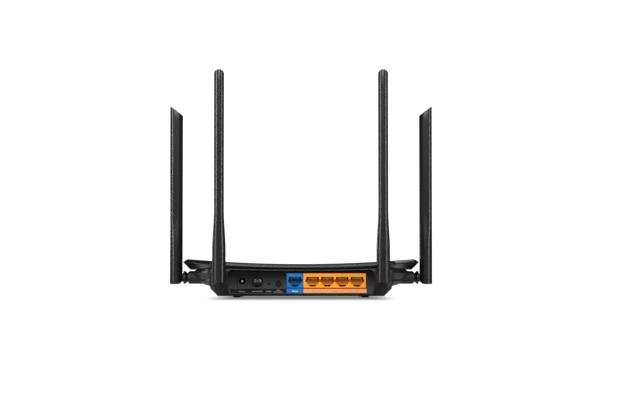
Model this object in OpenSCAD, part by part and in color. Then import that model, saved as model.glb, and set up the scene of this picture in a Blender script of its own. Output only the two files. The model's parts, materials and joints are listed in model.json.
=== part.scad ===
// Dual-band wireless router with four folding aerials: two behind the port side, one on each flank.
// +Z is up, the port side faces -Y and the indicator side faces +Y. Left and right are as seen from the
// port side. The origin is on the surface that the feet stand on, below the middle of the bounding box.

/* [Body] */
// Width of the top cover, tip to tip
body_w = 230; // [222:0.5:240]
// Depth of the top cover
body_d = 144; // [138:1:150]
// Height of the top surface on the centre line, above the table
top_z = 31.7; // [31:0.1:34]
// Radius of the hollow that the top surface follows from wing to wing
top_r = 1190; // [1000:10:2000]
// Height of the joint between base and cover at the flanks
seam_z = 26.6; // [26:0.1:27]
// Thickness of the moulded walls
wall = 2.2; // [2:0.1:2.6]
// Height of the base plate above the table
base_z = 1.3; // [1:0.1:2]

/* [Aerials] */
// Height of a rear aerial, bottom to tip
rear_len = 201.9; // [150:1:220]
// Height of a side aerial, bottom to tip
side_len = 174.4; // [150:1:220]
// Thickness of an aerial, from the face towards the body to the outer face
aerial_t = 12.45; // [12:0.05:12.6]
// Width of an aerial's blade
blade_w = 9.35; // [9:0.05:11]
// Width of an aerial's foot
foot_w = 12.78; // [12.4:0.02:13]
// Slope of the cut that ends an aerial, in degrees
tip_slope = 37; // [20:1:45]
// Distance of the rear aerials' swivels from the centre line
rear_x = 77.2; // [74:0.1:79]
// Height of the rear swivels
rear_z = 20.1; // [19:0.1:21]
// Height of the side swivels
side_z = 19.05; // [18:0.05:20]

/* [Ports] */
// Height of the circuit board's upper face
board_z = 9.1; // [8.5:0.1:9.5]
// Pitch of the four network sockets in their block
port_pitch = 14; // [13.9:0.05:14.1]
// Width of the blue single socket
wan_w = 16; // [15.5:0.1:16.2]
// Width of the orange block of four sockets
lan_w = 59; // [58:0.1:60]
// Left edge of the blue socket, from the centre line
ports_x = -13.6; // [-14:0.1:-13]
// Height of the sockets
socket_h = 13.7; // [13.5:0.1:14]

/* [Hidden] */
$fn = 48;
eps = 0.01; // overlap that joins two solids of one piece
through = 30; // length of a cut that goes right through

aerial_reach = 5.05; // from the swivel's seat to the aerial's inner face
pin_reach = aerial_reach + aerial_t / 2;
pin_up = 6.6; // hinge pin above the aerial's bottom
seat_in = 3; // swivel seat inside the cover's rear edge
behind = pin_reach + aerial_t / 2 - seat_in; // aerial's outer face behind the cover's rear edge
front = (body_d + behind) / 2;
rear = front - body_d;
recess_d = 3; // depth of the recess around the ports
seat_y = rear + seat_in;
panel = seat_y + recess_d; // plane of the recessed port panel
side_y = panel + 60; // widest place of the body, where the side swivels are
side_seat = 110.4; // side swivel seats from the centre line
plan_w = body_w / 2;

// aerial sets: name, swivel position, direction the swivel faces, height of the aerial
SETS = [
    ["rear_left", [-rear_x, seat_y, rear_z], 0, rear_len],
    ["rear_right", [rear_x, seat_y, rear_z], 0, rear_len],
    ["side_left", [-side_seat, side_y, side_z], -90, side_len],
    ["side_right", [side_seat, side_y, side_z], 90, side_len],
];
PIECES = ["knuckle", "hinge_pin", "sleeve", "hinge_block", "radiator"];

charcoal = [0.10, 0.10, 0.105];
soft_black = [0.07, 0.07, 0.075];
gold = [0.83, 0.66, 0.30];
steel = [0.70, 0.71, 0.72];

// ---- outlines and skins -------------------------------------------------------------------------

function unit(v) = v / norm(v);
function smooth(t) = t * t * (3 - 2 * t);
function reversed(list) = [for (i = [len(list) - 1:-1:0]) list[i]];
function mirrored(list) = [for (p = list) [-p.x, p.y]];
function arc_z(x) = x * x / (2 * top_r);
// the joint between base and cover runs higher along the port side and the front than at the flanks
function seam_rise(x) = (1 + 0.3 * arc_z(x)) * (1 - smooth(min(max((abs(x) - 80) / 22, 0), 1)));

// the corner v of the path a, v, b, rounded over the length r with n spans
function corner(a, v, b, r, n = 4) =
    let (p = v + r * unit(a - v), q = v + r * unit(b - v))
    [for (i = [0:n]) let (t = i / n) (1 - t) * (1 - t) * p + 2 * t * (1 - t) * v + t * t * q];

// right half of the six-sided plan, from the middle of the rear edge to the middle of the front edge
function half_plan(w, rw, yr, fw, yf, spans = 5) =
    let (
        tip = 8,
        v = [[0, yr], [rw, yr], [w, side_y - tip], [w, side_y + tip], [fw, yf], [0, yf]],
        rounds = [0, 9, 7, 7, 18, 0],
        edge = function (y, from, to) [for (i = [0:spans - 1]) [from + (to - from) * i / spans, y]]
    )
    concat(
        [for (p = edge(yr, 0, rw - rounds[1])) if (p.x > 0) p],
        [for (k = [1:4]) each corner(v[k - 1], v[k], v[k + 1], rounds[k])],
        reversed([for (p = edge(yf, 0, fw - rounds[4])) if (p.x > 0) p]));

// whole plan, anticlockwise from the left tip, so that point i faces point n - 1 - i across the depth
function plan(w, rw, yr, fw, yf) =
    let (
        right = half_plan(w, rw, yr, fw, yf),
        m = len(right),
        rear_right = [for (i = [0:m / 2 - 1]) right[i]],
        front_right = [for (i = [m / 2:m - 1]) right[i]]
    )
    concat(reversed(mirrored(rear_right)), [[0, yr]], rear_right,
           front_right, [[0, yf]], reversed(mirrored(front_right)));

function normals(p) =
    let (n = len(p))
    [for (i = [0:n - 1]) let (d = unit(p[(i + 1) % n] - p[(i + n - 1) % n])) [d.y, -d.x]];

// a closed solid through rings with the same number of points, with a strip cap at each end
module skin(rings) {
    n = len(rings[0]);
    last = (len(rings) - 1) * n;
    // the two triangles between points i, i + 1 of a ring and the points that face them
    cap = [for (i = [0:n / 2 - 2]) each [[i, i + 1, n - 2 - i], [i, n - 2 - i, n - 1 - i]]];
    sides = [for (j = [0:len(rings) - 2], i = [0:n - 1])
        let (a = j * n + i, b = a + n, d = j * n + (i + 1) % n, c = d + n)
        each [[a, b, c], [a, c, d]]];
    end = [for (t = cap) [for (i = reversed(t)) last + i]];
    polyhedron([for (r = rings) each r], concat(cap, sides, end));
}

module along_y() rotate([-90, 0, 0]) children();
module slot_2d(w, h) {
    r = min(w, h) / 2;
    square([w > h ? w - 2 * r : w, w > h ? h : h - 2 * r], center = true);
    for (s = [-1, 1]) translate([s * (w / 2 - r), s * (h / 2 - r)]) circle(r);
}
// an upright plate standing in the XZ plane, its 2D child extruded towards +Y
module plate_y(t) rotate([90, 0, 0]) translate([0, 0, -t]) linear_extrude(t) children();

// ---- top cover ----------------------------------------------------------------------------------

rim_in = 4.2; // width of the upper bevel
rim_down = 3.4; // height of the upper bevel
lining_top = 7.2; // inset of the inside's upper edge
lining_low = 5.8; // inset of the inside at the height of the bevel's foot
foot_in = 4.6; // width of the cover's lower edge, which closes the joint over the base
cover_plan = plan(plan_w, 88, rear, 86, front);
cover_out = normals(cover_plan);

// a ring of the cover: inset and height from the point's x
function cover_ring(inset, z) =
    [for (i = [0:len(cover_plan) - 1])
        let (p = cover_plan[i], q = p - inset(p.x) * cover_out[i]) [q.x, q.y, z(q.x)]];

function tip_z(x) = top_z - rim_down + arc_z(x);
function seam_in(x) = tip_z(x) - seam_z - seam_rise(x);

CASE_SCREWS = [[-72, panel + 24], [72, panel + 24], [-60, panel + 112], [60, panel + 112]];
case_boss_z = 16; // where the bosses of base and cover meet
cover_boss_r = 3.2;
screw_pilot_r = 1.2;
led_pitch = 8;
LED_X = [for (i = [0:5]) -20 + led_pitch * i];
led_y = panel + 104;
led_hole_r = 1.25;
vents = 9; // slots on each side
vent_pitch = 4.6;
vent_w = 1.9;

module top_cover() color(charcoal)
    difference() {
        union() {
            skin([
                cover_ring(function (x) lining_top, function (x) top_z - wall + arc_z(x)),
                cover_ring(function (x) lining_low, function (x) tip_z(x) - 0.1),
                cover_ring(function (x) seam_in(x) + foot_in, function (x) seam_z + seam_rise(x)),
                cover_ring(function (x) seam_in(x), function (x) seam_z + seam_rise(x)),
                cover_ring(function (x) 0, function (x) tip_z(x) - 0.35),
                cover_ring(function (x) 0, function (x) tip_z(x) + 0.2),
                cover_ring(function (x) rim_in - 0.5, function (x) top_z + arc_z(x) - 0.3),
                cover_ring(function (x) rim_in + 0.4, function (x) top_z + arc_z(x)),
            ]);
            for (p = CASE_SCREWS)
                translate([p.x, p.y, case_boss_z + 0.1])
                    cylinder(r = cover_boss_r, h = top_z - wall + arc_z(p.x) - case_boss_z + 0.6);
        }
        for (p = CASE_SCREWS)
            translate([p.x, p.y, case_boss_z - 1]) cylinder(r = screw_pilot_r, h = 10);
        for (x = LED_X)
            translate([x, led_y, top_z - 5]) cylinder(r = led_hole_r, h = 10, $fn = 24);
        for (s = [-1, 1], i = [0:vents - 1])
            translate([s * (58 + vent_pitch * i), panel + 30, top_z - 6])
                linear_extrude(through) slot_2d(vent_w, 30 - 1.2 * i);
    }

// ---- base shell ---------------------------------------------------------------------------------

// a ring of the base: height, half width, rear half width, rear y, front half width, front y, and the
// share of the joint's rise that the ring takes
function base_ring(z, w, rw, yr, fw, yf, rise = 0) =
    [for (p = plan(w, rw, panel + yr, fw, panel + yf)) [p.x, p.y, z + rise * seam_rise(p.x)]];

recess_w = 136.8;
recess_low = 3.4;
recess_high = 25.7;
recess_r = 4;
recess_sag = 1.3;

// places of the controls on the port side
dc_x = -55.6;
dc_z = board_z + 6.3;
power_x = -41.3;
power_z = 14.8;
reset_x = -30.4;
reset_z = 12.9;
wps_x = -21.2;
wps_z = 12.6;
lan_x = ports_x + wan_w;
DC_BODY = [9, 14, 11];
power_hole_r = 4.9;
reset_hole_r = 1;
WPS_HOLE = [4.7, 6];

// underside and inside of the base
BOARD_POSTS = [for (x = [-58, 58], y = [34, 98]) [x, panel + y]];
board_t = 1.6;
floor_z = base_z + wall; // inner face of the base plate
case_post_r = 3.6;
board_post_r = 3;
screw_head_r = 2.7;
head_bore_r = 2.9;
head_bore_z = 11; // screw heads rest here
KEYHOLES = [-45, 45];
keyhole_y = panel + 66;
keyhole_r = 4;
keyhole_run = 9; // from the entry to the narrow end
keyhole_w = 4.2;
FEET = [for (x = [-60.9, 60.9], y = [12, 115]) [x, panel + y]];
foot_r = 4;
foot_pocket = 0.6;
LABEL = [58, 18, 0.15];

// outline of the recess around the ports: its top edge sags like the cover, its upper corners are round
module recess_2d(grow) {
    w = recess_w / 2 + grow;
    low = recess_low - grow;
    high = recess_high + grow;
    r = recess_r + grow;
    spans = 8;
    top = [for (i = [-spans:spans])
        let (x = i / spans * (w - r)) [x, high - recess_sag * (1 - pow(x / w, 2))]];
    polygon(concat(
        [[-w, low], [w, low], [w, high - r]],
        [for (a = [15:15:75]) [w - r + r * cos(a), high - r + r * sin(a)]],
        reversed(top),
        [for (a = [105:15:165]) [-w + r + r * cos(a), high - r + r * sin(a)]],
        [[-w, high - r]]));
}

seam_gap = 0.4; // open joint between base and cover
tongue_up = 0.3; // height above the joint of the tongue that closes it from inside

// outside from the base plate up to the joint, over the tongue, and down the inside to the floor
module base_skin() skin([
    base_ring(base_z, 79.6, 79.1, 0.2, 73, 121),
    base_ring(base_z + 0.5, 80.3, 79.8, -0.4, 73.6, 121.6),
    base_ring(8.4, 86.6, 86.1, 0.9 - recess_d, 79, 127.6),
    base_ring(10.4, 86.7, 86.2, 0.9 - recess_d, 79, 127.7),
    base_ring(10.7, 88.0, 86.6, -recess_d, 79, 128.2),
    base_ring(12.1, 94.5, 86.8, -recess_d, 80, 129),
    base_ring(15.6, 98.4, 86.8, -recess_d, 81, 130.2),
    base_ring(17.0, 98.2, 86.4, -recess_d, 81, 130.2),
    base_ring(22.4, 104.1, 86.4, -recess_d, 82.2, 132.6),
    base_ring(23.0, 105.0, 86.6, -recess_d, 82.6, 133.6, 0.1),
    base_ring(24.2, 104.8, 86.6, -recess_d, 82.8, 134.2, 0.5),
    base_ring(25.4, 103.9, 86.2, 0.55 - recess_d, 82.6, 134.4, 0.85),
    base_ring(seam_z - seam_gap, 103.0, 85.8, 0.9 - recess_d, 82.4, 134, 1),
    base_ring(seam_z - seam_gap, 101.9, 82.2, 1.35, 80.2, 130.65, 1),
    base_ring(seam_z + tongue_up, 101.8, 82.1, 1.4, 80.1, 130.6, 1),
    base_ring(seam_z + tongue_up, 100.7, 81.0, 2.6, 79, 129.4, 1),
    base_ring(23.6, 100.4, 83.6, 2.2, 80, 130.2, 0.5),
    base_ring(17.4, 95.8, 83.6, 2.2, 78.6, 127.8),
    base_ring(14.2, 92.4, 83.6, 2.2, 78, 126.4),
    base_ring(12.6, 84.2, 83.6, 2.2, 77, 125.6),
    base_ring(9.0, 84.0, 83.4, 2.2, 76.6, 125.2),
    base_ring(floor_z, 78.0, 77.4, 2.2, 71, 119.4),
]);

// seats that the aerial swivels turn in
bearing = 8; // length of the bore that guides a swivel
seat_r = 6.3;
seat_chamfer = 1.6;
swivel_bore_r = 4.05;
collar_bore_r = 5;
module swivel_seat(chamfer)
    rotate([90, 0, 0]) {
        translate([0, 0, -bearing]) cylinder(r = seat_r, h = bearing - chamfer);
        translate([0, 0, -chamfer]) cylinder(r1 = seat_r, r2 = seat_r - chamfer, h = chamfer);
    }

module placed(set) translate(set[1]) rotate([0, 0, set[2]]) children();

// a post on the base's floor that ends at a height
module post(p, r, top) translate([p.x, p.y, floor_z - 0.5]) cylinder(r = r, h = top - floor_z + 0.5);

module keyhole() {
    cylinder(r = keyhole_r, h = 5);
    translate([-keyhole_w / 2, 0, 0]) cube([keyhole_w, keyhole_run, 5]);
    translate([0, keyhole_run, 0]) cylinder(r = keyhole_w / 2, h = 5);
}

module base_shell() color(charcoal)
    difference() {
        union() {
            base_skin();
            for (s = [SETS[0], SETS[1]]) placed(s) translate([0, -eps, 0]) swivel_seat(eps);
            for (s = [SETS[2], SETS[3]]) placed(s) {
                swivel_seat(seat_chamfer);
                translate([0, bearing - 1, 0]) along_y() cylinder(r = seat_r, h = 12);
            }
            for (p = CASE_SCREWS) post(p, case_post_r, case_boss_z);
            for (p = BOARD_POSTS) post(p, board_post_r, board_z - board_t);
        }
        // recess around the ports, with a stepped edge
        translate([0, panel - 4, 0]) plate_y(2.6) recess_2d(0.7);
        translate([0, panel - 4, 0]) plate_y(4) recess_2d(0);
        // windows and holes of the port panel
        translate([ports_x - 0.15, panel - 1, board_z - 0.1]) cube([wan_w + lan_w + 0.3, 5, socket_h + 0.3]);
        translate([dc_x - DC_BODY.x / 2 - 0.2, panel - 1, board_z - 0.1])
            cube([DC_BODY.x + 0.4, 5, DC_BODY.z + 0.3]);
        translate([power_x, panel - 1, power_z]) along_y() cylinder(r = power_hole_r, h = 5);
        translate([reset_x, panel - 1, reset_z]) along_y() cylinder(r = reset_hole_r, h = 5, $fn = 24);
        translate([wps_x, panel - 1, wps_z]) plate_y(5) slot_2d(WPS_HOLE.x, WPS_HOLE.y);
        // bores of the swivels, with room behind for their snap collars
        for (s = SETS) placed(s) {
            translate([0, -1, 0]) along_y() cylinder(r = swivel_bore_r, h = bearing + 6);
            translate([0, bearing, 0]) along_y() cylinder(r = collar_bore_r, h = 14);
        }
        for (p = CASE_SCREWS) translate([p.x, p.y, 0]) {
            cylinder(r = 1.6, h = 20);
            cylinder(r = head_bore_r, h = head_bore_z);
        }
        for (p = BOARD_POSTS)
            translate([p.x, p.y, floor_z + 0.8]) cylinder(r = 0.9, h = 10);
        for (x = KEYHOLES) translate([x, keyhole_y, 0]) keyhole();
        for (p = FEET) translate([p.x, p.y, 0]) cylinder(r = foot_r + 0.1, h = base_z + foot_pocket);
        // cooling slots in the underside
        for (s = [-1, 1], i = [0:6], y = [26, 78])
            translate([s * (13 + 7 * i) - 1, panel + y, 0]) cube([2, 24, 5]);
        translate([-LABEL.x / 2, keyhole_y - LABEL.y / 2, base_z - 1]) cube([LABEL.x, LABEL.y, 1 + LABEL.z]);
    }

// ---- small outer pieces -------------------------------------------------------------------------

module rubber_feet() color(soft_black)
    for (p = FEET) translate([p.x, p.y, 0]) {
        cylinder(r1 = 3.1, r2 = 3.6, h = 0.9);
        translate([0, 0, 0.9]) cylinder(r = foot_r, h = base_z + foot_pocket - 0.9);
    }

// a screw that points up, its head's underside upwards and a cross recess below
module pan_screw(r_head, h_head, r, h) {
    cross = [r_head * 1.1, 0.7, 1.9];
    difference() {
        cylinder(r = r_head, h = h_head);
        for (a = [0, 90]) rotate([0, 0, a]) translate([-cross.x / 2, -cross.y / 2, -1]) cube(cross);
    }
    translate([0, 0, h_head - eps]) cylinder(r = r, h = h);
}

module case_screws() color(steel)
    for (p = CASE_SCREWS) translate([p.x, p.y, head_bore_z - 2]) pan_screw(screw_head_r, 2, 1.15, 13);

module board_screws() color(steel)
    for (p = BOARD_POSTS) translate([p.x, p.y, board_z]) mirror([0, 0, 1])
        translate([0, 0, -1.6]) pan_screw(2.6, 1.6, 0.88, 4.6);

module rating_label() color([0.85, 0.85, 0.83])
    translate([-LABEL.x / 2 + 0.2, keyhole_y - LABEL.y / 2 + 0.2, base_z - 0.02])
        cube([LABEL.x - 0.4, LABEL.y - 0.4, LABEL.z]);

// coloured strips under the sockets
strip_low = 4.3;
strip_h = 3.9;
strip_t = 0.2;
module strip(x0, x1) translate([x0, panel - strip_t, strip_low]) cube([x1 - x0, strip_t, strip_h]);
module port_strip_black() color([0.09, 0.08, 0.08]) strip(-66.4, ports_x - 0.1);
module port_strip_blue() color([0.02, 0.47, 0.78]) strip(ports_x, lan_x - 0.05);
module port_strip_orange() color([0.98, 0.58, 0.34]) strip(lan_x, lan_x + lan_w + 0.6);

// ---- circuit board and its parts ----------------------------------------------------------------

BOARD = [130, 107];
module main_board() color([0.05, 0.30, 0.16])
    difference() {
        translate([-BOARD.x / 2, panel + 2.5, board_z - board_t]) cube([BOARD.x, BOARD.y, board_t]);
        for (p = BOARD_POSTS) translate([p.x, p.y, 0]) cylinder(r = 1.1, h = through);
        // corners cut away around the front case screws
        for (p = [CASE_SCREWS[2], CASE_SCREWS[3]]) translate([p.x, p.y, 0]) cylinder(r = 9, h = through);
    }

// cavity of one socket: plug channel, side slots at the mouth and the latch slot under it
plug_w = 11.8;
plug_low = board_z + 3.7;
plug_high = board_z + 10.4;
latch_w = 6.4;
latch_low = board_z + 1.2;
plug_deep = 14;
// mouth of the cavity, its lower corners sloping in to the latch slot
module cavity_2d() {
    right = [[2.2, latch_low], [latch_w / 2, latch_low + 0.7], [latch_w / 2 + 0.4, plug_low - 1.2],
             [4.4, plug_low - 0.4], [plug_w / 2, plug_low + 0.8], [plug_w / 2, plug_high]];
    polygon(concat(reversed(mirrored(right)), right));
}
module plug_cavity() {
    translate([-plug_w / 2, -1, plug_low]) cube([plug_w, plug_deep + 1, plug_high - plug_low]);
    translate([-latch_w / 2, -1, latch_low]) cube([latch_w, plug_deep + 1, plug_low - latch_low + 1]);
    translate([0, -1, 0]) plate_y(4) cavity_2d();
    translate([-plug_w / 2 - 0.9, -1, plug_low + 1.9]) cube([plug_w + 1.8, 5, 2.4]);
}

function port_xs(x0, w, count) = [for (i = [0:count - 1]) x0 + w / 2 + (i - (count - 1) / 2) * port_pitch];
WAN_PORTS = port_xs(ports_x, wan_w, 1);
LAN_PORTS = port_xs(lan_x, lan_w, 4);
socket_deep = 19;

socket_out = 0.3; // how far the sockets stand out of the panel

module socket_body(x0, w, ports)
    difference() {
        translate([x0 + 0.02, panel - socket_out, board_z]) cube([w - 0.04, socket_deep, socket_h]);
        for (x = ports) translate([x, panel - socket_out, 0]) plug_cavity();
        // channels that the contacts lie in, open at the back of the cavity's roof
        for (x = ports) translate([x - 4.6, panel + 9.2, plug_high - 0.5]) cube([9.2, 4.4, 1.3]);
    }

// eight spring contacts slanting down from the roof of a cavity
contact_pitch = 1.02;
contact_w = 0.4;
module contacts(x)
    for (i = [0:7])
        translate([x + (i - 3.5) * contact_pitch - contact_w / 2, panel, plug_high - 0.02])
            rotate([90, 0, 90]) linear_extrude(contact_w)
                polygon([[2, -0.4], [2, 0], [11, 0], [11, -1.9], [10.2, -2.1], [4, -0.4]]);

module wan_jack() color([0.20, 0.49, 0.75]) socket_body(ports_x, wan_w, WAN_PORTS);
module lan_jack_block() color([0.97, 0.63, 0.25]) socket_body(lan_x, lan_w, LAN_PORTS);
module wan_jack_contacts() color(gold) for (x = WAN_PORTS) contacts(x);
module lan_jack_contacts() color(gold) for (x = LAN_PORTS) contacts(x);

dc_pin_r = 1.05;
dc_root_r = 0.8;
module dc_jack() color(soft_black)
    difference() {
        translate([dc_x - DC_BODY.x / 2, panel - socket_out, board_z]) cube(DC_BODY);
        translate([dc_x, panel - 1, dc_z]) along_y() cylinder(r = 3.15, h = 10.7);
        translate([dc_x, panel + 8, dc_z]) along_y() cylinder(r = dc_root_r, h = 4);
    }
module dc_jack_pin() color(steel) translate([dc_x, panel + 0.8, dc_z]) along_y() {
    cylinder(r1 = 0.6, r2 = dc_pin_r, h = 0.5);
    translate([0, 0, 0.5]) cylinder(r = dc_pin_r, h = 8.4);
    translate([0, 0, 8]) cylinder(r = dc_root_r, h = 3.2);
}

switch_grey = [0.16, 0.16, 0.17];
button_grey = [0.13, 0.13, 0.135];
chip_grey = [0.12, 0.12, 0.13];
power_r = 4.35;
power_dome = 6.4; // radius of the button's round face
module power_switch() color(switch_grey)
    difference() {
        translate([power_x - 4.2, panel + 9.5, board_z]) cube([8.4, 10, 9.9]);
        translate([power_x - 1.8, panel + 9, power_z - 1.8]) cube([3.6, 9, 3.6]);
    }
module power_button() color(button_grey) translate([power_x, panel, power_z]) {
    intersection() {
        translate([0, 3 - power_dome, 0]) along_y() cylinder(r = power_r, h = 8.4);
        translate([0, 3, 0]) sphere(r = power_dome);
    }
    translate([-1.5, 5, -1.5]) cube([3, 8, 3]);
}

module reset_switch() color(switch_grey)
    difference() {
        translate([reset_x - 3, panel + 6.5, board_z]) cube([6, 3.8, 6.8]);
        translate([reset_x, panel + 6, reset_z]) along_y() cylinder(r = 1.25, h = 3.5);
    }
module reset_plunger() color([0.55, 0.55, 0.56])
    translate([reset_x, panel + 4.4, reset_z]) along_y() cylinder(r = 1.2, h = 4.2);

module wps_switch() color(switch_grey)
    difference() {
        translate([wps_x - 3, panel + 7, board_z]) cube([6, 3.8, 6.8]);
        translate([wps_x, panel + 6, wps_z]) along_y() cylinder(r = 1.35, h = 4);
    }
module wps_button() color(button_grey) translate([wps_x, panel, wps_z]) {
    translate([0, 0.2, 0]) plate_y(3.8) slot_2d(3.2, 4.4);
    translate([0, 3.4, 0]) plate_y(1.2) slot_2d(5.4, 6.8);
    translate([0, 4.5, 0]) along_y() cylinder(r = 1.3, h = 4.6);
}

// a block that stands on the board, its middle at x and at y behind the panel
module chip(x, y, w, d, h) translate([x - w / 2, panel + y - d / 2, board_z]) cube([w, d, h]);
CPU = [4, 62];
cpu_t = 1.6;
pad_t = 0.5;
sink_w = 22;
sink_t = 2;
module processor() color(chip_grey) chip(CPU.x, CPU.y, 17, 17, cpu_t);
module thermal_pad() color([0.55, 0.62, 0.68]) translate([0, 0, cpu_t]) chip(CPU.x, CPU.y, 15, 15, pad_t);
module heat_sink() color(steel) translate([0, 0, cpu_t + pad_t]) {
    chip(CPU.x, CPU.y, sink_w, sink_w, sink_t);
    for (i = [-3:3]) translate([3.5 * i, 0, sink_t - eps]) chip(CPU.x, CPU.y, 1, sink_w, 6);
}
module memory_chips() color(chip_grey) {
    chip(26, 62, 12, 10, 1.1);
    chip(26, 74, 8, 6, 1.8);
}
module radio_shields() color(steel) for (x = [-30, 36])
    difference() {
        chip(x, 90, 22, 20, 2.4);
        translate([0, 0, -1]) chip(x, 90, 21.4, 19.4, 3.1);
    }
module line_transformers() color(chip_grey) {
    chip(ports_x + wan_w / 2, 29, 13, 9, 5.6);
    for (x = [16, 41]) chip(x, 30, 22, 10, 5.6);
}
// each capacitor: x, y behind the panel, radius, height
module electrolytic_capacitors() color([0.20, 0.22, 0.32])
    for (p = [[-52, 22, 4, 11], [-41, 30, 4, 11], [-52, 48, 3.15, 9], [-44, 58, 2.5, 7]])
        let (r = p[2], h = p[3], bevel = 0.5) translate([p.x, panel + p.y, board_z]) {
            cylinder(r = r, h = h - bevel);
            translate([0, 0, h - bevel]) cylinder(r1 = r, r2 = r - bevel, h = bevel);
        }
module power_inductors() color([0.30, 0.30, 0.31])
    for (p = [[-30, 26], [-30, 40]]) translate([p[0], panel + p[1], board_z]) {
        cylinder(r = 3.6, h = 0.8);
        translate([0, 0, 0.8]) cylinder(r = 2.9, h = 2.8);
        translate([0, 0, 3.6]) cylinder(r = 3.6, h = 0.8);
    }
module crystal() color(steel) chip(-10, 66, 5, 3.2, 1);

module status_leds() color([0.93, 0.93, 0.88]) for (x = LED_X) chip(x, led_y - panel, 1.6, 0.9, 0.7);
// six light pipes on one bar, which stands on two legs
module light_guide() color([0.88, 0.90, 0.92, 0.7]) {
    bar_z = 22;
    for (x = LED_X) translate([x, led_y, board_z + 1.2])
        cylinder(r = 1.15, h = top_z + arc_z(x) + 0.15 - board_z - 1.2, $fn = 24);
    translate([LED_X[0] - 3, led_y + 0.4, bar_z]) cube([LED_X[5] - LED_X[0] + 6, 2.2, 3]);
    for (x = [LED_X[0] - 1.6, LED_X[5] + 1.6])
        translate([x - 1, led_y + 0.6, board_z + 0.02]) cube([2, 1.8, bar_z - board_z]);
}

// ---- aerials ------------------------------------------------------------------------------------
// Each set is drawn with its swivel's seat at the origin, the swivel facing -Y and the aerial upright.

swivel_r = 4;
swivel_end = bearing + 0.2; // the snap collar starts here, behind the bore
neck_gap = 0.3; // between the seat and the flange
neck_r = 4.6;
neck_end = 0.5;
flange_r = 6.35;
flange_slope = 2;
flange_bevel = 0.4;
flange_end = 4.1;
tang_r = 4.15;
tang_t = 5;
pin_r = 1.25;
pin_len = 11;
pin_hole = 11.3;
pin_room = 0.05; // between the pin and its holes in the aerial
lead_r = 1.5; // bore that the aerial's lead runs in
snap_slot = 1.2; // width of the slots that let the snap collar spring

// a cylinder of length l across the hinge, with its middle on the hinge's axis
module across_hinge(r, l) translate([-l / 2, -pin_reach, 0]) rotate([0, 90, 0]) cylinder(r = r, h = l);

module knuckle()
    difference() {
        union() {
            along_y() cylinder(r = swivel_r, h = swivel_end);
            translate([0, swivel_end, 0]) along_y() cylinder(r1 = 4.55, r2 = 4.1, h = 2.2);
            rotate([90, 0, 0]) {
                translate([0, 0, neck_gap]) cylinder(r = neck_r, h = 0.3);
                translate([0, 0, neck_end]) cylinder(r1 = neck_r, r2 = flange_r, h = flange_slope);
                translate([0, 0, neck_end + flange_slope])
                    cylinder(r = flange_r, h = flange_end - neck_end - flange_slope - flange_bevel);
                translate([0, 0, flange_end - flange_bevel])
                    cylinder(r1 = flange_r, r2 = flange_r - flange_bevel, h = flange_bevel);
                translate([0, 0, -0.5]) cylinder(r = swivel_r - 0.1, h = 2);
            }
            translate([-tang_t / 2, -pin_reach, -tang_r])
                cube([tang_t, pin_reach - flange_end + 0.5, 2 * tang_r]);
            across_hinge(tang_r, tang_t);
        }
        across_hinge(pin_r, 2 * tang_t);
        translate([0, -flange_end - 1.6, 0]) along_y() cylinder(r = lead_r, h = 20);
        translate([-5, bearing - 3, -snap_slot / 2]) cube([10, 8, snap_slot]);
        translate([-snap_slot / 2, bearing - 3, -5]) cube([snap_slot, 8, 10]);
    }

module hinge_pin() across_hinge(pin_r, pin_len);

// section of an aerial at a height above its bottom, as points around it; u is towards the outer face
RING = 28;
widest = 4.5; // depth of the blade's widest place behind its outer face
function section(h) =
    let (
        t = smooth(min(max((70 - h) / 40, 0), 1)),
        half = (blade_w + (foot_w - blade_w) * t) / 2,
        outer = widest + (aerial_t / 2 - widest) * t,
        inner = aerial_t - outer,
        square = 3 + (2.15 - 3) * t
    )
    [for (i = [0:RING - 1])
        let (a = -90 + (i + 0.5) * 360 / RING, c = cos(a), s = sin(a), n = c > 0 ? 2 : square,
             x = half * sign(s) * pow(abs(s), 2 / n),
             u = (c > 0 ? outer : -inner) * pow(abs(c), 2 / n))
        [x, aerial_t / 2 - outer + u]];
function sleeve_ring(h, len, inset) =
    let (s = section(h), k = [for (p = s) norm(p)])
    [for (i = [0:RING - 1])
        let (p = s[i] * (1 - inset / k[i]),
             drop = h > len - 1 ? (aerial_t / 2 - p.y) * tan(tip_slope) : 0)
        [p.x, -pin_reach - p.y, h - drop - pin_up]];

below = -pin_up - 1; // starts a cut under an aerial
// the inner bottom corner, rounded about the hinge pin so that the aerial can fold
swing_r = 6.75;
module swing_corner()
    difference() {
        translate([-8, -pin_reach, below]) cube([16, 8, pin_up + 1]);
        across_hinge(swing_r, 18);
    }
// room for the knuckle's tang
tang_room = 4.5;
module tang_slot()
    translate([-2.8, -pin_reach - tang_room, below]) cube([5.6, 12, tang_room - below]);

block_up = 18; // top of the hinge block above the pin
block_r = 4.87;
module sleeve(len) {
    shoulder = len - aerial_t * tan(tip_slope);
    levels = concat([0], [for (h = [30:5:70]) h], [shoulder - 4]);
    difference() {
        skin(concat(
            [for (h = levels) sleeve_ring(h, len, 0)],
            [sleeve_ring(len - 0.5, len, 0), sleeve_ring(len, len, 0.6)]));
        translate([0, -pin_reach, below]) cylinder(r = block_r + 0.03, h = block_up + 0.5 - below);
        translate([0, -pin_reach, 0]) cylinder(r = 3.2, h = shoulder - pin_up - 6);
        tang_slot();
        swing_corner();
        across_hinge(pin_r + pin_room, pin_hole);
    }
}

module hinge_block()
    difference() {
        translate([0, -pin_reach, -pin_up + 0.3]) cylinder(r = block_r, h = pin_up - 0.3 + block_up);
        tang_slot();
        swing_corner();
        across_hinge(pin_r + pin_room, pin_hole);
        translate([0, -pin_reach, 0]) cylinder(r = 1, h = through);
    }

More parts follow.
